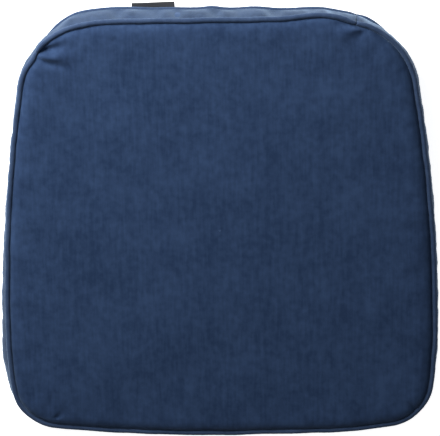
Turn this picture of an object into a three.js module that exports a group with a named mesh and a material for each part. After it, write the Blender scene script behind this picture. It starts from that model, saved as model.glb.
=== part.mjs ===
// Outdoor seat cushion with piped edges, lying on its bottom panel.
// Millimetres, +Z up. The back edge is towards +Y, and the face is a rounded trapezium, wider at the front.
import * as THREE from "three";

// Heights of the two seams, and the crown above the upper one
const LOWER_SEAM_HEIGHT = 7;
const UPPER_SEAM_HEIGHT = 43;
const SHOULDER_RISE = 6.5;
const SHOULDER_REACH = 5;
const CROWN_RISE = 3.5;

// Cloth, piping and the space that is left between pieces
const STRIP_THICKNESS = 1.6;
const BOTTOM_THICKNESS = 1.8;
const PIPING_RADIUS = 3;
const PIPING_SIDES = 8;
const GAP = 0.4;

// How far the lower seam stands out past the upper one, with its lean to the left at the back, and how far it
// is drawn in at the back corners and along the front
const LOWER_SPREAD = 1;
const LOWER_SPREAD_AT_BACK = 4;
const LOWER_SPREAD_LEAN = 0.02;
const CORNER_TUCK = 4.5;
const FRONT_TUCK = 3;

// How far the side strip swells out between its seams, and its fuller stretch on the left side
const STRIP_SWELL = 3.5;
const STRIP_SWELL_AT_BACK = 1.5;
const FULLER = { swell: 3, y: -100, width: 85 };

// Half of the upper seam's outline, from the middle of the back to the middle of the front, as arcs that run
// on from each other. The last arc's radius follows from the others, so that it ends on the middle line.
const OUTLINE = [
  { part: "back", radius: 20600, sweep: 0.3, steps: 9 },
  { part: "back shoulder", radius: 204, sweep: 12, steps: 4 },
  { part: "back corner, upper", radius: 81.5, sweep: 37.7, steps: 5 },
  { part: "back corner, lower", radius: 81.5, sweep: 30.6, steps: 4 },
  { part: "side", radius: 1638, sweep: 10.1, steps: 9 },
  { part: "side near the front", radius: 410, sweep: 7.8, steps: 2 },
  { part: "front corner", radius: 50.5, sweep: 75.3, steps: 7 },
  { part: "front", radius: null, sweep: 6.2, steps: 6 },
];

// The two joints in the piping and the side strip, each at the end of a row of OUTLINE
const RIGHT_JOINT = "back shoulder";
const LEFT_JOINT = "back corner, upper";

// Slack in the back strip: swellings by their place along X, how far each lifts, and half its width
const SLACK = [
  { x: -6, lift: 1.6, width: 11 },
  { x: 42, lift: 1.8, width: 16 },
  { x: 106, lift: 1.6, width: 24 },
];

// Creases that run into the top panel from its seam: start, way in degrees from +X, and size
const CREASES = [
  { x: -192, y: 207, way: 3, length: 42, depth: 3, width: 4.5 },
  { x: -190, y: 199, way: -14, length: 34, depth: -1.5, width: 4 },
  { x: -188, y: 192, way: -26, length: 38, depth: 1.5, width: 4.5 },
  { x: 150, y: 231, way: 178, length: 30, depth: 2.4, width: 4 },
  { x: 152, y: 224, way: -125, length: 26, depth: -1.2, width: 6 },
  { x: -184, y: -209, way: 52, length: 16, depth: 1.6, width: 4 },
  { x: -118, y: -226, way: 80, length: 12, depth: 1.2, width: 4 },
  { x: 212, y: -203, way: 135, length: 14, depth: 1.4, width: 4 },
];

// Rings of a panel: steps in from its edge, and then shares of the last of these rings
const PANEL_STEPS = [0, 1.4, 3.5, 7, 13, 23, 38];
const PANEL_SHARES = [0.82, 0.6, 0.36, 0.14];
const BOTTOM_STEPS = [0, 8, 20, 36];
const BOTTOM_SHARES = [0.5];
const PANEL_HALF_SIZE = 230;
const STRIP_ROWS = 5;

// Tab in the lower back seam
const TAB = { left: -93, right: -46, reach: 9.5, tuck: 5, thickness: 1.1, underside: 2.3, steps: 8, curl: 0.5 };

const radians = THREE.MathUtils.degToRad;

// Stations along half of the outline: place, outward normal, and the row that each one ends
function halfOutline() {
  let angle = 0;
  let spanned = 0;
  for (const row of OUTLINE.slice(0, -1)) {
    const next = angle + radians(row.sweep);
    spanned += row.radius * (Math.sin(next) - Math.sin(angle));
    angle = next;
  }
  const lastRadius = spanned / (Math.sin(angle) - Math.sin(Math.PI));

  const stations = [{ x: 0, y: 0, angle: 0, ends: "" }];
  let start = stations[0];
  for (const row of OUTLINE) {
    const isLast = row === OUTLINE.at(-1);
    const radius = isLast ? lastRadius : row.radius;
    const sweep = isLast ? Math.PI - start.angle : radians(row.sweep);
    for (let step = 1; step <= row.steps; step += 1) {
      const turned = start.angle + (sweep * step) / row.steps;
      stations.push({
        x: start.x + radius * (Math.sin(turned) - Math.sin(start.angle)),
        y: start.y + radius * (Math.cos(turned) - Math.cos(start.angle)),
        angle: turned,
        ends: step === row.steps ? row.part : "",
      });
    }
    start = stations.at(-1);
  }
  return stations;
}

// The whole outline clockwise from the middle of the back, centred on the origin
function wholeOutline() {
  const half = halfOutline();
  const middle = half.at(-1).y / 2;
  const right = half.map((s) => ({ ...s, y: s.y - middle, side: 1 }));
  const left = right.slice(1, -1).reverse().map((s) => ({ ...s, x: -s.x, angle: -s.angle, side: -1 }));
  return [...right, ...left].map((s) => ({ ...s, nx: Math.sin(s.angle), ny: Math.cos(s.angle) }));
}

const STATIONS = wholeOutline();
const BACK_LINE = STATIONS[0].y;
const RIGHT_AT = STATIONS.findIndex((s) => s.side === 1 && s.ends === RIGHT_JOINT);
const LEFT_AT = STATIONS.findIndex((s) => s.side === -1 && s.ends === LEFT_JOINT);

// A point that is a distance outside the seam line at a station, moved along the seam by a slip
function beside(station, outward, height, slip = 0) {
  const x = station.x + outward * station.nx + slip * station.ny;
  const y = station.y + outward * station.ny - slip * station.nx;
  return new THREE.Vector3(x, y, height);
}

// 1 on the back edge, falling to 0 round the back corners
function backShare(station) {
  return Math.max(0, station.ny) ** 6;
}

function slackAt(station) {
  const lift = SLACK.reduce((sum, s) => sum + s.lift * Math.exp(-(((station.x - s.x) / s.width) ** 2)), 0);
  return lift * backShare(station);
}

// Outward place of the lower seam at a station
function lowerSeam(station) {
  const atBack = LOWER_SPREAD_AT_BACK - LOWER_SPREAD_LEAN * station.x;
  const corner = Math.max(0, 2 * Math.abs(station.nx) * station.ny) ** 4;
  const front = Math.max(0, -station.ny) ** 3;
  const spread = THREE.MathUtils.lerp(LOWER_SPREAD, atBack, backShare(station));
  return spread - CORNER_TUCK * corner - FRONT_TUCK * front + slackAt(station);
}

// How far the side strip swells out at a station
function swellAt(station) {
  const fuller = Math.exp(-(((station.y - FULLER.y) / FULLER.width) ** 4)) * Math.max(0, -station.nx);
  return THREE.MathUtils.lerp(STRIP_SWELL, STRIP_SWELL_AT_BACK, backShare(station)) + FULLER.swell * fuller;
}

// Outward place and height of the strip's middle layer, with down running from 0 at the top seam to 1
function stripPoint(station, down) {
  const top = UPPER_SEAM_HEIGHT - PIPING_RADIUS - GAP;
  const bottom = LOWER_SEAM_HEIGHT + PIPING_RADIUS + GAP;
  return {
    outward: down * lowerSeam(station) + swellAt(station) * Math.sin(Math.PI * down),
    height: THREE.MathUtils.lerp(top, bottom, down),
  };
}

// Depth of all creases at a point: a trough or ridge across, fading along its way
function creaseDepth(x, y) {
  return CREASES.reduce((sum, crease) => {
    const dx = x - crease.x;
    const dy = y - crease.y;
    const way = radians(crease.way);
    const along = dx * Math.cos(way) + dy * Math.sin(way);
    const across = dy * Math.cos(way) - dx * Math.sin(way);
    const spread = crease.width * (0.7 + Math.max(0, along) / crease.length);
    const fade = along < 0 ? Math.exp(-((along / crease.width) ** 2)) : Math.max(0, 1 - along / crease.length);
    return sum + crease.depth * fade * Math.exp(-((across / spread) ** 2));
  }, 0);
}

// Rings of a panel from its middle out to its edge; heightAt gives the height from the way in and the place
function panelRings(edgeAt, steps, shares, heightAt) {
  const deepest = steps.at(-1);
  const inner = shares.toReversed().map((share) =>
    STATIONS.map((station) => {
      const flat = beside(station, edgeAt(station) - deepest, 0).multiplyScalar(share);
      const inward = deepest + (1 - share) * (PANEL_HALF_SIZE - deepest);
      return flat.setZ(heightAt(inward, flat.x, flat.y));
    }),
  );
  const outer = steps.toReversed().map((step) =>
    STATIONS.map((station) => {
      const flat = beside(station, edgeAt(station) - step, 0);
      return flat.setZ(heightAt(step, flat.x, flat.y));
    }),
  );
  return [...inner, ...outer];
}

// Triangles that close a loop from both of its ends towards its middle, for the section of a strip or a cord
function closeSection(size) {
  const triangles = [];
  for (let low = 0, high = size - 1; high - low > 1; low += 1, high -= 1) {
    triangles.push([low, high, low + 1]);
    if (high - low > 2) triangles.push([low + 1, high, high - 1]);
  }
  return triangles;
}

// Triangles that close a ring of a panel, as a fan round one more point in its middle
function closeRing(size) {
  return Array.from({ length: size }, (_, k) => [k, size, (k + 1) % size]);
}

// A closed skin over loops of points, with its first and last loop closed by the given way
function skin(loops, closing = closeSection) {
  const size = loops[0].length;
  const points = loops.flat();
  const middleOf = (loop) => loop.reduce((sum, p) => sum.add(p), new THREE.Vector3()).divideScalar(size);
  const firstPole = points.length;
  const lastPole = firstPole + 1;
  if (closing === closeRing) points.push(middleOf(loops[0]), middleOf(loops.at(-1)));
  const lastLoop = (loops.length - 1) * size;
  const triangles = [];
  for (const [a, b, c] of closing(size)) {
    triangles.push([a, b, c].map((k) => (k === size ? firstPole : k)).reverse());
    triangles.push([a, b, c].map((k) => (k === size ? lastPole : lastLoop + k)));
  }
  for (let k = 0; k < size; k += 1) {
    const next = (k + 1) % size;
    for (let row = 0; row < lastLoop; row += size) {
      triangles.push([row + k, row + size + k, row + size + next], [row + k, row + size + next, row + next]);
    }
  }

  const sixVolumes = triangles.reduce((sum, [a, b, c]) => {
    return sum + points[a].dot(new THREE.Vector3().crossVectors(points[b], points[c]));
  }, 0);
  const outwards = sixVolumes > 0 ? triangles : triangles.map(([a, b, c]) => [a, c, b]);
  const geometry = new THREE.BufferGeometry().setFromPoints(points);
  geometry.setIndex(outwards.flat());
  geometry.computeVertexNormals();
  return geometry;
}

// Stations from one index on to another, clockwise, with a slip that keeps the two ends clear of the joints
function lengthOf(from, to) {
  const count = ((to - from + STATIONS.length) % STATIONS.length) + 1;
  return Array.from({ length: count }, (_, k) => {
    const slips = { 0: GAP / 2, [count - 1]: -GAP / 2 };
    return { station: STATIONS[(from + k) % STATIONS.length], slip: slips[k] ?? 0, fromEnd: Math.min(k, count - 1 - k) };
  });
}

// Height of the bottom panel's underside at a distance in from its edge: flat, curling up near the seam
function undersideHeight(inward) {
  const rise = LOWER_SEAM_HEIGHT - BOTTOM_THICKNESS;
  return rise * Math.max(0, 1 - inward / BOTTOM_STEPS.at(-1)) ** 3;
}

function bottomEdge(station) {
  return lowerSeam(station) - PIPING_RADIUS - GAP;
}

// Bottom panel: a thin dish, flat where it rests
function bottomPanel() {
  const under = panelRings(bottomEdge, BOTTOM_STEPS, BOTTOM_SHARES, undersideHeight);
  const upper = under.map((ring) => ring.map((p) => new THREE.Vector3(p.x, p.y, p.z + BOTTOM_THICKNESS)));
  return skin([...upper, ...under.toReversed()], closeRing);
}

// Top panel with its filling: the crown, the rolled shoulder, the walls behind the strip and the underside
function topPanelFilled() {
  const edge = -PIPING_RADIUS - GAP;
  const crown = panelRings(() => edge, PANEL_STEPS, PANEL_SHARES, (inward, x, y) => {
    const shoulder = SHOULDER_RISE * (1 - Math.exp(-inward / SHOULDER_REACH));
    const dome = CROWN_RISE * (1 - (1 - inward / PANEL_HALF_SIZE) ** 2);
    const grown = Math.min(1, 0.25 + inward / SHOULDER_REACH);
    return UPPER_SEAM_HEIGHT + shoulder + dome - grown * creaseDepth(x, y);
  });
  const behindPiping = STATIONS.map((station) => beside(station, edge - 0.2, UPPER_SEAM_HEIGHT - PIPING_RADIUS / 2));
  const walls = Array.from({ length: STRIP_ROWS }, (_, row) =>
    STATIONS.map((station) => {
      const strip = stripPoint(station, row / (STRIP_ROWS - 1));
      return beside(station, strip.outward - STRIP_THICKNESS / 2 - GAP, strip.height);
    }),
  );
  const aboveSeam = STATIONS.map((station) => beside(station, bottomEdge(station) - 0.2, LOWER_SEAM_HEIGHT + 1.8));
  const underneath = panelRings(bottomEdge, BOTTOM_STEPS, BOTTOM_SHARES, (inward) => {
    return undersideHeight(inward) + BOTTOM_THICKNESS + GAP;
  });
  return skin([...crown, behindPiping, ...walls, aboveSeam, ...underneath.toReversed()], closeRing);
}

// Side strip between two joints: its inner face down, and its outer face up
function sideStrip(from, to) {
  const rows = Array.from({ length: STRIP_ROWS }, (_, row) => row / (STRIP_ROWS - 1));
  return skin(
    lengthOf(from, to).map(({ station, slip }) => {
      const face = (down, offset) => {
        const strip = stripPoint(station, down);
        return beside(station, strip.outward + offset, strip.height, slip);
      };
      const inner = rows.map((down) => face(down, -STRIP_THICKNESS / 2));
      const outer = rows.toReversed().map((down) => face(down, STRIP_THICKNESS / 2));
      return [...inner, ...outer];
    }),
  );
}

// Piping between two joints, pinched where it goes into them
function piping(from, to, outwardAt, height) {
  const pinch = [0.6, 0.85];
  return skin(
    lengthOf(from, to).map(({ station, slip, fromEnd }) => {
      const radius = PIPING_RADIUS * (pinch[fromEnd] ?? 1);
      return Array.from({ length: PIPING_SIDES }, (_, side) => {
        const turn = (2 * Math.PI * (side + 0.5)) / PIPING_SIDES;
        const outward = outwardAt(station) + radius * Math.cos(turn);
        return beside(station, outward, height + radius * Math.sin(turn), slip);
      });
    }),
  );
}

// Folded tab that comes out under the lower piping
function foldedTab() {
  const seamLine = BACK_LINE + LOWER_SPREAD_AT_BACK;
  const half = TAB.thickness / 2;
  const near = seamLine - TAB.tuck;
  const far = seamLine + TAB.reach;
  return skin(
    Array.from({ length: TAB.steps + 1 }, (_, step) => {
      const x = THREE.MathUtils.lerp(TAB.left, TAB.right, step / TAB.steps);
      const middle = TAB.underside + half;
      const lifted = middle - TAB.curl * Math.sin((Math.PI * step) / TAB.steps);
      return [
        new THREE.Vector3(x, near, middle - half),
        new THREE.Vector3(x, far - half, lifted - half),
        new THREE.Vector3(x, far, lifted),
        new THREE.Vector3(x, far - half, lifted + half),
        new THREE.Vector3(x, near, middle + half),
      ];
    }),
  );
}

const velvet = { color: 0x2b4468, roughness: 0.85, metalness: 0 };
const woven = { color: 0x17181b, roughness: 0.7, metalness: 0 };

const upperSeam = () => 0;
const pieces = [
  ["top_panel_filled", topPanelFilled(), velvet],
  ["bottom_panel", bottomPanel(), velvet],
  ["side_strip_front", sideStrip(RIGHT_AT, LEFT_AT), velvet],
  ["side_strip_back", sideStrip(LEFT_AT, RIGHT_AT), velvet],
  ["piping_top_front", piping(RIGHT_AT, LEFT_AT, upperSeam, UPPER_SEAM_HEIGHT), velvet],
  ["piping_top_back", piping(LEFT_AT, RIGHT_AT, upperSeam, UPPER_SEAM_HEIGHT), velvet],
  ["piping_bottom_front", piping(RIGHT_AT, LEFT_AT, lowerSeam, LOWER_SEAM_HEIGHT), velvet],
  ["piping_bottom_back", piping(LEFT_AT, RIGHT_AT, lowerSeam, LOWER_SEAM_HEIGHT), velvet],
  ["label_tab", foldedTab(), woven],
];

const cushion = new THREE.Group();
for (const [name, geometry, finish] of pieces) {
  const mesh = new THREE.Mesh(geometry, new THREE.MeshStandardMaterial(finish));
  mesh.name = name;
  cushion.add(mesh);
}

// The origin is under the middle of the whole cushion, tab and all
const reach = new THREE.Box3().setFromObject(cushion);
cushion.position.set(0, -(reach.min.y + reach.max.y) / 2, 0);

export default cushion;
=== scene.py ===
import math

import bpy
import numpy as np
from mathutils import Matrix, Vector


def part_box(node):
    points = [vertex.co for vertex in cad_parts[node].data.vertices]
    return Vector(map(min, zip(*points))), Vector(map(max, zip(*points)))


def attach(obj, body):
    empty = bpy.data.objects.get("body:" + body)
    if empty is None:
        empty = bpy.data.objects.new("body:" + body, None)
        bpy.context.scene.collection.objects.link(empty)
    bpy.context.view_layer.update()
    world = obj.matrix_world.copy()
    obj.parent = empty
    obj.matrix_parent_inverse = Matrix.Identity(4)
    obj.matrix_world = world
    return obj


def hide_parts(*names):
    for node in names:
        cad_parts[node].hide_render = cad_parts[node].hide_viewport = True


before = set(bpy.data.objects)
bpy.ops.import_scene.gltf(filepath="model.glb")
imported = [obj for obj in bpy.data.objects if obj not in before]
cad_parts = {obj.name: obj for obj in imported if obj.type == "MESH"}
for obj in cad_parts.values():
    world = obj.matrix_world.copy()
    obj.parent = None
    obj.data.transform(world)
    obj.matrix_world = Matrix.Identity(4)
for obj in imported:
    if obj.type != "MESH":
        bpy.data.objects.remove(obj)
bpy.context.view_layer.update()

# Sizes in metres, as the solids have them
LOWER_SEAM_HEIGHT = 0.007
UPPER_SEAM_HEIGHT = 0.043
PIPING_RADIUS = 0.003
GAP = 0.0004
STRIP_THICKNESS = 0.0016
BOTTOM_THICKNESS = 0.0018
BOTTOM_RIM = 0.036
PANEL_HALF_SIZE = 0.230

# How far the lower seam stands out past the upper one, with its lean to the left at the back, and how far it
# is drawn in at the back corners and along the front
LOWER_SPREAD = 0.001
LOWER_SPREAD_AT_BACK = 0.004
LOWER_SPREAD_LEAN = 0.02
CORNER_TUCK = 0.0045
FRONT_TUCK = 0.003

# How far the side strip swells out, and the height of its edges from the middle of a piping, as a share of
# the piping's radius
STRIP_SWELL = 0.0032
STRIP_SWELL_AT_BACK = 0.0012
STRIP_EDGE_SHARE = 0.75

# The top panel: its edge below the seam, the groove beside the piping, the rolled shoulder and the crown
PANEL_EDGE_DROP = 0.0008
GROOVE_DEPTH = 0.0010
GROOVE_WIDTH = 0.0030
SHOULDER_RISE = 0.0068
SHOULDER_REACH = 0.017
SHOULDER_REACH_CHANGE = 0.004
SHOULDER_POWER = 2.3
CROWN_RISE = 0.0034

# Piping: how thin it is at its ends, as a share, and over what length it gets there
PINCHED_SHARE = 0.62
PINCH_LENGTH = 0.009

# Numbers of steps: round a panel, round a strip's height, round a piping and along each run of the tab
TOP_COLUMNS = 720
BOTTOM_COLUMNS = 480
STRIP_ROWS = 22
CORD_SIDES = 20
TAB_RUN = 14

# Half of the seam's outline from the middle of the back: radius and sweep of each arc that runs on
ARC_RADII = [20.6, 0.204, 0.0815, 1.638, 0.410, 0.0505]
ARC_SWEEPS = [0.3, 12.0, 68.3, 10.1, 7.8, 75.3]
JOINT_RIGHT_TURN = 12.3
JOINT_LEFT_TURN = -50.0

# The upper seam's own drift: place along the seam from the middle of the back, way out and half width
SEAM_DRIFT = [
    {"along": 0.112, "out": 0.0042, "width": 0.034},
    {"along": 0.150, "out": -0.0012, "width": 0.010},
    {"along": -0.2135, "out": -0.0020, "width": 0.010},
    {"along": 0.700, "out": 0.0030, "width": 0.060},
]

# Slack in the back strip by its place along X
SLACK = [
    {"x": -0.006, "lift": 0.0016, "width": 0.011},
    {"x": 0.042, "lift": 0.0018, "width": 0.016},
    {"x": 0.106, "lift": 0.0016, "width": 0.024},
]

# Fuller stretch of the side strip on the left, by its place along Y
FULLER = [
    {"y": -0.090, "out": 0.0030, "width": 0.090},
    {"y": -0.150, "out": 0.0030, "width": 0.036},
]

# Creases of the top panel: start, way in degrees from +X, length, depth (negative is a ridge) and width
CREASES = [
    {"x": -0.197, "y": 0.2035, "way": 5, "length": 0.052, "depth": 0.0085, "width": 0.0036},
    {"x": -0.195, "y": 0.1975, "way": -6, "length": 0.044, "depth": -0.0036, "width": 0.0034},
    {"x": -0.192, "y": 0.1950, "way": -22, "length": 0.044, "depth": 0.0040, "width": 0.0032},
    {"x": -0.200, "y": 0.1800, "way": -24, "length": 0.030, "depth": 0.0008, "width": 0.0040},
    {"x": -0.206, "y": 0.1620, "way": -14, "length": 0.028, "depth": 0.0008, "width": 0.0040},
    {"x": 0.156, "y": 0.2270, "way": 171, "length": 0.036, "depth": 0.0080, "width": 0.0034},
    {"x": 0.152, "y": 0.2240, "way": -156, "length": 0.036, "depth": -0.0032, "width": 0.0045},
    {"x": 0.156, "y": 0.2180, "way": -118, "length": 0.026, "depth": 0.0009, "width": 0.0040},
    {"x": -0.184, "y": -0.2120, "way": 55, "length": 0.014, "depth": 0.0022, "width": 0.0026},
    {"x": -0.118, "y": -0.2290, "way": 84, "length": 0.010, "depth": 0.0016, "width": 0.0028},
    {"x": 0.211, "y": -0.2060, "way": 140, "length": 0.012, "depth": 0.0022, "width": 0.0026},
    {"x": 0.104, "y": 0.1760, "way": 4, "length": 0.030, "depth": 0.0005, "width": 0.0022},
    {"x": 0.110, "y": 0.1560, "way": 2, "length": 0.026, "depth": 0.0004, "width": 0.0022},
    {"x": 0.214, "y": 0.0340, "way": 150, "length": 0.020, "depth": 0.0005, "width": 0.0030},
    {"x": -0.110, "y": 0.2150, "way": -92, "length": 0.010, "depth": 0.0008, "width": 0.0024},
]

# Camera as in the photograph, which is 440 pixels wide and shows 915 of them for each metre
PHOTO_WIDTH = 440
PIXELS_PER_METRE = 915
CAMERA_DISTANCE = 3.5
CAMERA_TILT = 15.0
CAMERA_SIDE = 1.0
CAMERA_ROLL = 0.9
AIM_ABOVE_MIDDLE = 0.0134
AIM_RIGHT = 0.0003


def add_camera():
    """Camera beyond the back edge, looking down at the face, with the back edge up in the picture."""
    aim = np.array([AIM_RIGHT, CENTRE_Y + AIM_ABOVE_MIDDLE, UPPER_SEAM_HEIGHT])
    away = np.array([math.tan(math.radians(CAMERA_SIDE)), math.tan(math.radians(CAMERA_TILT)), 1.0])
    away /= np.linalg.norm(away)
    up = np.array([0.0, 1.0, 0.0]) - away * away[1]
    up /= np.linalg.norm(up)
    right = np.cross(up, away)
    cosine = math.cos(math.radians(CAMERA_ROLL))
    sine = math.sin(math.radians(CAMERA_ROLL))
    data = bpy.data.cameras.new("camera")
    data.sensor_fit = "HORIZONTAL"
    data.lens = PIXELS_PER_METRE * CAMERA_DISTANCE * data.sensor_width / PHOTO_WIDTH
    camera = bpy.data.objects.new("camera", data)
    turn = Matrix([Vector(cosine * right - sine * up), Vector(sine * right + cosine * up), Vector(away)])
    place = Matrix.Translation(Vector(aim + CAMERA_DISTANCE * away))
    camera.matrix_world = place @ turn.transposed().to_4x4()
    bpy.context.scene.collection.objects.link(camera)
    bpy.context.scene.camera = camera


def close_half():
    """Starts of the arcs of half the outline, with a last arc whose radius ends it on the middle line."""
    turns = np.radians(np.concatenate([[0.0], np.cumsum(ARC_SWEEPS), [180.0]]))
    radii = np.array(ARC_RADII + [0.0])
    across = np.diff(np.sin(turns))
    radii[-1] = -(radii[:-1] * across[:-1]).sum() / across[-1]
    x = np.concatenate([[0.0], np.cumsum(radii * across)])
    y = np.concatenate([[0.0], np.cumsum(radii * np.diff(np.cos(turns)))])
    along = np.concatenate([[0.0], np.cumsum(radii * np.diff(turns))])
    return turns, radii, x, y - y[-1] / 2, along


TURNS, RADII, ARC_X, ARC_Y, ARC_ALONG = close_half()
HALF_LENGTH = ARC_ALONG[-1]

# The solid piping has eight flat sides, whose corners lie half a side's turn off its outermost line
SOLID_PIPING_REACH = PIPING_RADIUS * math.cos(math.radians(22.5))
CENTRE_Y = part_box("piping_top_back")[1][1] - SOLID_PIPING_REACH - ARC_Y[0]


def seam(along):
    """Place and outward normal of the seam at signed lengths from the middle of the back, right positive.

    On each arc the normal's turn is the start turn plus length over radius, and the place is the start plus
    the radius times the change of (sine, cosine) of the turn."""
    wrapped = (along + HALF_LENGTH) % (2 * HALF_LENGTH) - HALF_LENGTH
    side = np.where(wrapped < 0, -1.0, 1.0)
    length = np.abs(wrapped)
    arc = np.clip(np.searchsorted(ARC_ALONG, length, side="right") - 1, 0, len(RADII) - 1)
    turn = TURNS[arc] + (length - ARC_ALONG[arc]) / RADII[arc]
    x = ARC_X[arc] + RADII[arc] * (np.sin(turn) - np.sin(TURNS[arc]))
    y = ARC_Y[arc] + RADII[arc] * (np.cos(turn) - np.cos(TURNS[arc]))
    return side * x, y + CENTRE_Y, side * np.sin(turn), np.cos(turn)


def length_at_turn(degrees):
    """Signed length along the seam where the outward normal has turned by so many degrees from +Y."""
    arc = np.searchsorted(TURNS, math.radians(abs(degrees)), side="right") - 1
    return math.copysign(ARC_ALONG[arc] + (math.radians(abs(degrees)) - TURNS[arc]) * RADII[arc], degrees)


JOINT_RIGHT = length_at_turn(JOINT_RIGHT_TURN)
JOINT_LEFT = length_at_turn(JOINT_LEFT_TURN)


def bumps(rows, place, key, size):
    """Sum of bell curves: size times exp(-((place - key) / width) squared) for each row."""
    return sum(row[size] * np.exp(-(((place - row[key]) / row["width"]) ** 2)) for row in rows)


def ripple(along, pitch, seed):
    """Uneven waves from -1 to 1 along the seam: three sines with pitches near the given one."""
    phase = seed * 2.399
    waves = [(1.0, 1.0), (0.62, 0.6), (1.71, 0.8)]
    total = 0.0
    for turn, (share, size) in enumerate(waves, start=1):
        total = total + size * np.sin(2 * np.pi * along / (pitch * share) + phase * turn)
    return total / sum(size for _, size in waves)


def back_share(ny):
    """1 on the back edge, falling to 0 round the back corners."""
    return np.maximum(0.0, ny) ** 6


def drift(along):
    """How far the upper seam stands out of its outline."""
    wrapped = (along + HALF_LENGTH) % (2 * HALF_LENGTH) - HALF_LENGTH
    return bumps(SEAM_DRIFT, wrapped, "along", "out") + 0.0003 * ripple(wrapped, 0.060, 1)


def lower_seam(along):
    """How far the lower seam stands out: more at the back, with a lean and the slack's waves. It is drawn in
    at the back corners, by the fourth power of twice the normal's parts multiplied, and along the front."""
    x, _, nx, ny = seam(along)
    share = back_share(ny)
    corner = np.maximum(0.0, 2 * np.abs(nx) * ny) ** 4
    front = np.maximum(0.0, -ny) ** 3
    at_back = LOWER_SPREAD_AT_BACK - LOWER_SPREAD - LOWER_SPREAD_LEAN * x + bumps(SLACK, x, "x", "lift")
    tucks = CORNER_TUCK * corner + FRONT_TUCK * front
    return LOWER_SPREAD + at_back * share - tucks + 0.0003 * ripple(along, 0.070, 2)


def strip_place(along, down):
    """Outward place and height of the strip's middle layer; down is 0 at the upper seam and 1 at the lower.

    The place runs straight from seam to seam, plus a half sine of the swell, plus soft upright waves."""
    _, y, nx, ny = seam(along)
    share = back_share(ny)
    fuller = bumps(FULLER, y - CENTRE_Y, "y", "out") * np.maximum(0.0, -nx)
    swell = STRIP_SWELL * (1 - share) + STRIP_SWELL_AT_BACK * share + fuller
    waves = (0.0005 + 0.0020 * share) * ripple(along, 0.034, 5) + 0.0003 * ripple(along, 0.011, 7)
    straight = (1 - down) * drift(along) + down * lower_seam(along)
    top = UPPER_SEAM_HEIGHT - PIPING_RADIUS * STRIP_EDGE_SHARE
    bottom = LOWER_SEAM_HEIGHT + PIPING_RADIUS * STRIP_EDGE_SHARE
    return straight + (swell + waves) * np.sin(np.pi * down), top + down * (bottom - top)


def beside(along, outward, height):
    """Points a distance outside the seam line, at a height."""
    x, y, nx, ny = seam(along)
    return np.stack(np.broadcast_arrays(x + outward * nx, y + outward * ny, height), axis=-1)


def crease_depth(x, y):
    """Sum of creases: depth times a bell curve across each one, fading along its way."""
    total = np.zeros_like(x)
    for crease in CREASES:
        way = math.radians(crease["way"])
        dx = x - crease["x"]
        dy = y - (crease["y"] + CENTRE_Y)
        along = dx * math.cos(way) + dy * math.sin(way)
        across = dy * math.cos(way) - dx * math.sin(way) + 0.0012 * np.sin(along / 0.007)
        spread = crease["width"] * (0.8 + 1.2 * np.clip(along / crease["length"], 0, 1))
        fade = np.where(along < 0, np.exp(-((along / crease["width"]) ** 2)),
                        np.clip(1 - along / crease["length"], 0, 1) ** 1.3)
        total += crease["depth"] * fade * np.exp(-((across / spread) ** 2))
    return total


def surface(name, points, uv):
    """Closed mesh over rows of closed loops. The first and last loop are closed by triangles that step
    inwards from both ends of the loop, like rungs.

    points is rows by columns by 3. uv gives a corner's map place from arrays of row and column numbers."""
    rows, columns = points.shape[:2]
    vertices = points.reshape(-1, 3)
    r, c = np.meshgrid(np.arange(rows - 1), np.arange(columns), indexing="ij")
    r, c = r.ravel(), c.ravel()
    corner_rows = np.stack([r, r + 1, r + 1, r], axis=1)
    corner_columns = np.stack([c, c, c + 1, c + 1], axis=1)
    quads = corner_rows * columns + corner_columns % columns
    low = np.arange(columns // 2 - 1)
    high = columns - 1 - low
    rungs = np.vstack([np.stack([low, low + 1, high], axis=1), np.stack([low + 1, high - 1, high], axis=1)])
    caps = np.vstack([rungs, rungs[:, ::-1] + (rows - 1) * columns])

    a, b, d = (vertices[np.vstack([quads[:, [0, 1, 2]], quads[:, [0, 2, 3]], caps])[:, i]] for i in range(3))
    if np.einsum("ij,ij->", a, np.cross(b, d)) < 0:
        quads, caps = quads[:, ::-1], caps[:, ::-1]
        corner_rows, corner_columns = corner_rows[:, ::-1], corner_columns[:, ::-1]
    all_rows = np.concatenate([corner_rows.ravel(), caps.ravel() // columns])
    all_columns = np.concatenate([corner_columns.ravel(), caps.ravel() % columns])

    mesh = bpy.data.meshes.new(name)
    mesh.vertices.add(len(vertices))
    mesh.vertices.foreach_set("co", vertices.ravel())
    corners = np.concatenate([quads.ravel(), caps.ravel()])
    mesh.loops.add(len(corners))
    mesh.loops.foreach_set("vertex_index", corners)
    starts = np.concatenate([np.arange(len(quads)) * 4, len(quads) * 4 + np.arange(len(caps)) * 3])
    mesh.polygons.add(len(starts))
    mesh.polygons.foreach_set("loop_start", starts)
    mesh.update(calc_edges=True)
    mesh.polygons.foreach_set("use_smooth", np.ones(len(starts), dtype=bool))

    places = np.stack(uv(all_rows, all_columns), axis=1)
    mesh.uv_layers.new(name="cloth").data.foreach_set("uv", places.ravel())
    mesh.validate()
    piece = bpy.data.objects.new(name, mesh)
    bpy.context.scene.collection.objects.link(piece)
    return piece


def panel_rings(along, edge, steps, shares, height):
    """Rings from a panel's middle to its edge: shares of the innermost ring, then steps in from the edge."""
    deepest = steps[-1]
    x, y, nx, ny = seam(along)
    core_x = x + (edge - deepest) * nx
    core_y = y - CENTRE_Y + (edge - deepest) * ny
    inner = shares[::-1, None]
    inner_in = deepest + (1 - inner) * (PANEL_HALF_SIZE - deepest) + 0 * core_x
    outer = steps[::-1, None]
    px = np.vstack([inner * core_x, x + (edge - outer) * nx])
    py = np.vstack([inner * core_y, y - CENTRE_Y + (edge - outer) * ny]) + CENTRE_Y
    inward = np.vstack([inner_in, outer + 0 * core_x])
    return np.stack([px, py, height(inward, px, py)], axis=-1)


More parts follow.
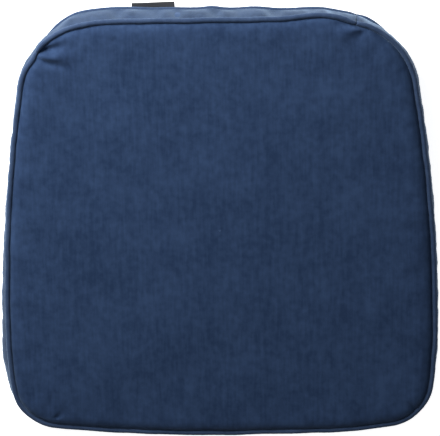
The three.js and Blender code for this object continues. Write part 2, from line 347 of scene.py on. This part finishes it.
def underside(inward):
    """Height of the bottom panel's lower face: flat, curling up to the seam as a cube of the way left."""
    return (LOWER_SEAM_HEIGHT - BOTTOM_THICKNESS) * np.clip(1 - inward / BOTTOM_RIM, 0, 1) ** 3


def make_top_panel():
    """Top panel over its filling. The height above the seam is the rolled shoulder, a quarter of a rounded
    square, plus the crown, plus short gathers that fade away from the seam, less the groove that the seam
    pulls in beside the piping and the creases."""
    along = np.linspace(0, 2 * HALF_LENGTH, TOP_COLUMNS, endpoint=False)
    edge = drift(along) - PIPING_RADIUS + 0.0009
    steps = 0.040 * (np.arange(44) / 43) ** 1.7
    shares = np.linspace(0.985, 0.004, 62)
    _, _, _, ny = seam(along)
    reach = SHOULDER_REACH + SHOULDER_REACH_CHANGE * ny

    def height(inward, x, y):
        near = np.clip(inward / reach, 0, 1)
        shoulder = SHOULDER_RISE * (1 - (1 - near) ** SHOULDER_POWER) ** (1 / SHOULDER_POWER)
        crown = CROWN_RISE * (1 - (1 - np.clip(inward / PANEL_HALF_SIZE, 0, 1)) ** 2)
        gathers = 0.00035 * ripple(along, 0.013, 3) * np.exp(-inward / 0.006)
        gathers = gathers + 0.0005 * ripple(along, 0.045, 4) * np.exp(-((inward - 0.014) / 0.014) ** 2)
        soft = 0.0005 * np.sin(x / 0.031 + 1.3 * np.sin(y / 0.047)) * np.sin(y / 0.039 + 0.8)
        groove = GROOVE_DEPTH * np.exp(-((inward / GROOVE_WIDTH) ** 2))
        grown = np.clip(0.3 + inward / 0.006, 0, 1)
        uneven = gathers * np.clip(inward / 0.001, 0, 1) + soft * np.clip(inward / 0.05, 0, 1)
        smooth = UPPER_SEAM_HEIGHT - PANEL_EDGE_DROP - groove + shoulder + crown
        return smooth + uneven - grown * crease_depth(x, y)

    top = panel_rings(along, edge, steps, shares, height)
    behind = beside(along, edge - 0.0004, UPPER_SEAM_HEIGHT - PIPING_RADIUS * 0.8)[None]
    downs = np.linspace(0.05, 0.95, 7)
    walls = []
    for down in downs:
        outward, level = strip_place(along, down)
        walls.append(beside(along, outward - STRIP_THICKNESS / 2 - GAP, level))
    low = lower_seam(along) - PIPING_RADIUS - GAP
    foot = beside(along, low - 0.0003, LOWER_SEAM_HEIGHT + 0.0022)[None]
    rim = np.linspace(0, BOTTOM_RIM, 7)
    base = panel_rings(along, low, rim, np.array([0.8, 0.5, 0.2]),
                       lambda inward, x, y: underside(inward) + BOTTOM_THICKNESS + GAP)
    points = np.concatenate([top, behind, np.array(walls), foot, base[::-1]])
    piece = surface("top_panel", points, lambda r, c: points[r, c % TOP_COLUMNS, :2].T)
    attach(piece, "root")
    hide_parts("top_panel_filled")
    return piece


def make_bottom_panel():
    """Bottom panel: a dish with a flat middle, whose two faces stay one cloth thickness apart."""
    along = np.linspace(0, 2 * HALF_LENGTH, BOTTOM_COLUMNS, endpoint=False)
    edge = lower_seam(along) - PIPING_RADIUS + 0.0002
    steps = BOTTOM_RIM * (np.arange(24) / 23) ** 1.4
    shares = np.linspace(0.95, 0.05, 16)

    def lower(inward, x, y):
        puckers = 0.0003 * (1 + ripple(along, 0.021, 6)) * np.exp(-((inward - 0.006) / 0.004) ** 2)
        return underside(inward) + puckers

    under = panel_rings(along, edge, steps, shares, lower)
    upper = under + np.array([0.0, 0.0, BOTTOM_THICKNESS])
    points = np.concatenate([upper, under[::-1]])
    piece = surface("bottom_cloth", points, lambda r, c: points[r, c % BOTTOM_COLUMNS, :2].T)
    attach(piece, "root")
    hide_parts("bottom_panel")
    return piece


def make_side_strip(name, node, start, end):
    """Side strip: loops round the cloth's section, inner face down and outer face up, along the seam."""
    count = max(40, int((end - start) / 0.0026))
    along = np.linspace(start + 0.0002, end - 0.0002, count)[:, None]
    downs = np.linspace(0, 1, STRIP_ROWS)
    inner_out, inner_level = strip_place(along, downs[None])
    outer_out, outer_level = strip_place(along, downs[None, ::-1])
    inner = beside(along, inner_out - STRIP_THICKNESS / 2, inner_level)
    outer = beside(along, outer_out + STRIP_THICKNESS / 2, outer_level)
    points = np.concatenate([inner, outer], axis=1)
    height = UPPER_SEAM_HEIGHT - LOWER_SEAM_HEIGHT
    step = height / (STRIP_ROWS - 1)
    piece = surface(name, points, lambda r, c: (along[r, 0], step * (c % STRIP_ROWS)))
    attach(piece, "root")
    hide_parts(node)
    return piece


def make_piping(name, node, start, end, outward_at, level, seed):
    """Piping: a circle carried along the seam, narrowed at both ends, with slanting ruffles in its cloth."""
    count = int((end - start) / 0.0016)
    along = np.linspace(start + 0.0001, end - 0.0001, count)[:, None]
    from_end = np.minimum(along - start, end - along)
    pinch = PINCHED_SHARE + (1 - PINCHED_SHARE) * np.clip(from_end / PINCH_LENGTH, 0, 1) ** 0.8
    turn = np.linspace(0, 2 * np.pi, CORD_SIDES, endpoint=False)[None]
    ruffle = 1 + 0.035 * ripple(along + 0.0016 * turn, 0.0052, seed) + 0.03 * ripple(along, 0.031, seed + 1)
    radius = PIPING_RADIUS * 0.97 * pinch * ruffle
    sway = 0.00025 * ripple(along, 0.048, seed + 2)
    outward = outward_at(along) + sway + radius * np.cos(turn)
    height = level + 0.0003 * ripple(along, 0.055, seed + 3) + radius * np.sin(turn)
    points = beside(along, outward, height)
    step = 2 * np.pi * PIPING_RADIUS / CORD_SIDES
    piece = surface(name, points, lambda r, c: (along[r, 0], step * c))
    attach(piece, "root")
    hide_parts(node)
    return piece


def make_tab():
    """Folded tape: a long U in section, two layers and a round fold at the far end, carried along X."""
    left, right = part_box("label_tab")[0][0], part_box("label_tab")[1][0]
    near = CENTRE_Y + ARC_Y[0]
    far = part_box("label_tab")[1][1] - 0.0002
    low = 0.0021
    layer = 0.0005
    gap = 0.0002
    bend = layer + gap / 2
    fold = np.linspace(-np.pi / 2, np.pi / 2, 9)
    middle = low + bend
    runs = np.linspace(near, far - bend, TAB_RUN)
    flat = np.ones(TAB_RUN)
    outer_y = np.concatenate([runs, far - bend + bend * np.cos(fold), runs[::-1]])
    outer_z = middle + bend * np.concatenate([-flat, np.sin(fold), flat])
    inner_y = np.concatenate([runs, far - bend + gap / 2 * np.cos(fold), runs[::-1]])[::-1]
    inner_z = (middle + gap / 2 * np.concatenate([-flat, np.sin(fold), flat]))[::-1]
    section_y = np.concatenate([outer_y, inner_y])
    section_z = np.concatenate([outer_z, inner_z])
    x = np.linspace(left + 0.0001, right - 0.0001, 60)[:, None]
    reach = np.clip((section_y - near) / (far - near), 0, 1)
    lift = 0.0006 * reach * np.sin((x - left) / (right - left) * 5.2) + 0.0007 * reach
    slant = 0.0010 * reach * (x - left) / (right - left)
    y = section_y[None] - 0.0010 * reach + slant
    points = np.stack(np.broadcast_arrays(x, y, section_z[None] + lift), axis=-1)
    piece = surface("folded_tab", points, lambda r, c: (x[r, 0], section_y[c % len(section_y)]))
    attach(piece, "root")
    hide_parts("label_tab")
    return piece


def group_with(name, inputs, outputs):
    """Empty node group with named number, colour or vector sockets."""
    group = bpy.data.node_groups.new(name, "ShaderNodeTree")
    for label, kind, value in inputs:
        socket = group.interface.new_socket(name=label, in_out="INPUT", socket_type=kind)
        if value is not None:
            socket.default_value = value
    for label, kind in outputs:
        group.interface.new_socket(name=label, in_out="OUTPUT", socket_type=kind)
    return group, group.nodes.new("NodeGroupInput"), group.nodes.new("NodeGroupOutput")


def add_noise(group, vector, scale, detail, stretch=(1, 1, 1)):
    """Noise over stretched coordinates."""
    mapping = group.nodes.new("ShaderNodeMapping")
    mapping.inputs["Scale"].default_value = stretch
    group.links.new(vector, mapping.inputs["Vector"])
    noise = group.nodes.new("ShaderNodeTexNoise")
    noise.inputs["Scale"].default_value = scale
    noise.inputs["Detail"].default_value = detail
    group.links.new(mapping.outputs[0], noise.inputs["Vector"])
    return noise.outputs["Fac"]


def mix_values(group, first, second, share):
    """Plain mix of two values."""
    mix = group.nodes.new("ShaderNodeMix")
    mix.inputs["Factor"].default_value = share
    group.links.new(first, mix.inputs["A"])
    group.links.new(second, mix.inputs["B"])
    return mix.outputs["Result"]


def nap_group():
    """Velvet nap: soft blotches where the pile lies one way or the other, and faint upright streaks."""
    group, entry, result = group_with(
        "velvet_nap",
        [("Vector", "NodeSocketVector", None)],
        [("Blotches", "NodeSocketFloat"), ("Pile", "NodeSocketFloat")],
    )
    place = entry.outputs["Vector"]
    blotches = add_noise(group, place, 24.0, 4.0)
    patches = add_noise(group, place, 130.0, 6.0)
    streaks = add_noise(group, place, 300.0, 2.0, (1.0, 0.10, 1.0))
    cloud = mix_values(group, blotches, patches, 0.55)
    both = mix_values(group, cloud, streaks, 0.25)
    group.links.new(both, result.inputs["Blotches"])
    group.links.new(add_noise(group, place, 1500.0, 2.0), result.inputs["Pile"])
    return group


def velvet(name, dark, light, depth, nap):
    """Velvet: colour between two blues by the nap, a sheen for grazing light, and a fine pile bump."""
    material = bpy.data.materials.new(name)
    material.use_nodes = True
    tree = material.node_tree
    shader = tree.nodes["Principled BSDF"]
    place = tree.nodes.new("ShaderNodeTexCoord")
    cloth = tree.nodes.new("ShaderNodeGroup")
    cloth.node_tree = nap
    tree.links.new(place.outputs["Object"], cloth.inputs["Vector"])
    ramp = tree.nodes.new("ShaderNodeValToRGB")
    ramp.color_ramp.elements[0].position = 0.38
    ramp.color_ramp.elements[0].color = (*dark, 1)
    ramp.color_ramp.elements[1].position = 0.62
    ramp.color_ramp.elements[1].color = (*light, 1)
    tree.links.new(cloth.outputs["Blotches"], ramp.inputs["Fac"])
    tree.links.new(ramp.outputs["Color"], shader.inputs["Base Color"])
    hollows = tree.nodes.new("ShaderNodeBump")
    hollows.inputs["Strength"].default_value = 0.35
    hollows.inputs["Distance"].default_value = depth
    tree.links.new(cloth.outputs["Blotches"], hollows.inputs["Height"])
    pile = tree.nodes.new("ShaderNodeBump")
    pile.inputs["Strength"].default_value = 0.30
    pile.inputs["Distance"].default_value = 0.0003
    tree.links.new(cloth.outputs["Pile"], pile.inputs["Height"])
    tree.links.new(hollows.outputs["Normal"], pile.inputs["Normal"])
    tree.links.new(pile.outputs["Normal"], shader.inputs["Normal"])
    shader.inputs["Roughness"].default_value = 0.88
    shader.inputs["Specular IOR Level"].default_value = 0.18
    shader.inputs["Sheen Weight"].default_value = 0.42
    shader.inputs["Sheen Roughness"].default_value = 0.38
    shader.inputs["Sheen Tint"].default_value = (0.40, 0.57, 0.80, 1)
    return material


def tape():
    """Black satin tape with fine ribs."""
    material = bpy.data.materials.new("black_tape")
    material.use_nodes = True
    tree = material.node_tree
    shader = tree.nodes["Principled BSDF"]
    cloth = tree.nodes.new("ShaderNodeUVMap")
    cloth.uv_map = "cloth"
    ribs = tree.nodes.new("ShaderNodeTexWave")
    ribs.inputs["Scale"].default_value = 500.0
    tree.links.new(cloth.outputs["UV"], ribs.inputs["Vector"])
    ramp = tree.nodes.new("ShaderNodeValToRGB")
    ramp.color_ramp.elements[0].color = (0.010, 0.011, 0.014, 1)
    ramp.color_ramp.elements[1].color = (0.045, 0.047, 0.052, 1)
    tree.links.new(ribs.outputs["Fac"], ramp.inputs["Fac"])
    tree.links.new(ramp.outputs["Color"], shader.inputs["Base Color"])
    bump = tree.nodes.new("ShaderNodeBump")
    bump.inputs["Strength"].default_value = 0.4
    bump.inputs["Distance"].default_value = 0.0001
    tree.links.new(ribs.outputs["Fac"], bump.inputs["Height"])
    tree.links.new(bump.outputs["Normal"], shader.inputs["Normal"])
    shader.inputs["Roughness"].default_value = 0.5
    return material


def add_light(name, place, aim, size, power):
    """Square soft light that looks at a point."""
    data = bpy.data.lights.new(name, "AREA")
    data.size = size
    data.energy = power
    light = bpy.data.objects.new(name, data)
    light.location = place
    light.rotation_euler = (Vector(aim) - Vector(place)).to_track_quat("-Z", "Y").to_euler()
    bpy.context.scene.collection.objects.link(light)


def add_studio():
    """Pale floor just below the cushion, a soft light beyond the back edge, a weak one above and a pale
    surround. The floor glows a little, so that it stays pale under little light."""
    mesh = bpy.data.meshes.new("floor")
    half = 6.0
    level = -0.0003
    corners = [(-half, -half, level), (half, -half, level), (half, half, level), (-half, half, level)]
    mesh.from_pydata(corners, [], [(0, 1, 2, 3)])
    floor = bpy.data.objects.new("floor", mesh)
    bpy.context.scene.collection.objects.link(floor)
    paint = bpy.data.materials.new("pale_floor")
    paint.use_nodes = True
    shader = paint.node_tree.nodes["Principled BSDF"]
    shader.inputs["Base Color"].default_value = (0.95, 0.95, 0.95, 1)
    shader.inputs["Roughness"].default_value = 0.9
    shader.inputs["Emission Color"].default_value = (1.0, 1.0, 1.0, 1)
    shader.inputs["Emission Strength"].default_value = 0.8
    mesh.materials.append(paint)
    add_light("key", (-0.72, 1.05, 0.58), (0.0, 0.05, 0.0), 0.8, 46.0)
    add_light("fill", (0.3, 0.3, 3.0), (0.0, 0.0, 0.0), 2.0, 8.0)
    world = bpy.data.worlds.new("surround")
    bpy.context.scene.world = world
    world.use_nodes = True
    world.node_tree.nodes["Background"].inputs["Color"].default_value = (0.95, 0.97, 1.0, 1)
    world.node_tree.nodes["Background"].inputs["Strength"].default_value = 0.20
    bpy.context.scene.view_settings.view_transform = "Standard"


add_camera()
nap = nap_group()
velvet_face = velvet("navy_velvet", (0.0080, 0.0215, 0.058), (0.0185, 0.040, 0.094), 0.0008, nap)
# The cords' copy of the velvet is lighter than the face: a painted highlight along the piping
cord_velvet_painted_highlight = velvet("navy_velvet_cord_painted_highlight", (0.0150, 0.030, 0.068), (0.0270, 0.047, 0.094), 0.0004, nap)
# The side strip's copy of the velvet is darker than the face: painted shade on the band below the piping
strip_velvet_painted_shade = velvet("navy_velvet_strip_painted_shade", (0.0085, 0.0190, 0.044), (0.0185, 0.035, 0.074), 0.0006, nap)

turned_end = JOINT_LEFT + 2 * HALF_LENGTH
strips = [
    make_side_strip("strip_front", "side_strip_front", JOINT_RIGHT, turned_end),
    make_side_strip("strip_back", "side_strip_back", JOINT_LEFT, JOINT_RIGHT),
]
cords = [
    make_piping("cord_top_front", "piping_top_front", JOINT_RIGHT, turned_end, drift, UPPER_SEAM_HEIGHT, 11),
    make_piping("cord_top_back", "piping_top_back", JOINT_LEFT, JOINT_RIGHT, drift, UPPER_SEAM_HEIGHT, 12),
    make_piping("cord_low_front", "piping_bottom_front", JOINT_RIGHT, turned_end, lower_seam,
                LOWER_SEAM_HEIGHT, 13),
    make_piping("cord_low_back", "piping_bottom_back", JOINT_LEFT, JOINT_RIGHT, lower_seam,
                LOWER_SEAM_HEIGHT, 14),
]
for piece in [make_top_panel(), make_bottom_panel()]:
    piece.data.materials.append(velvet_face)
for piece in strips:
    piece.data.materials.append(strip_velvet_painted_shade)
for piece in cords:
    piece.data.materials.append(cord_velvet_painted_highlight)
make_tab().data.materials.append(tape())
add_studio()
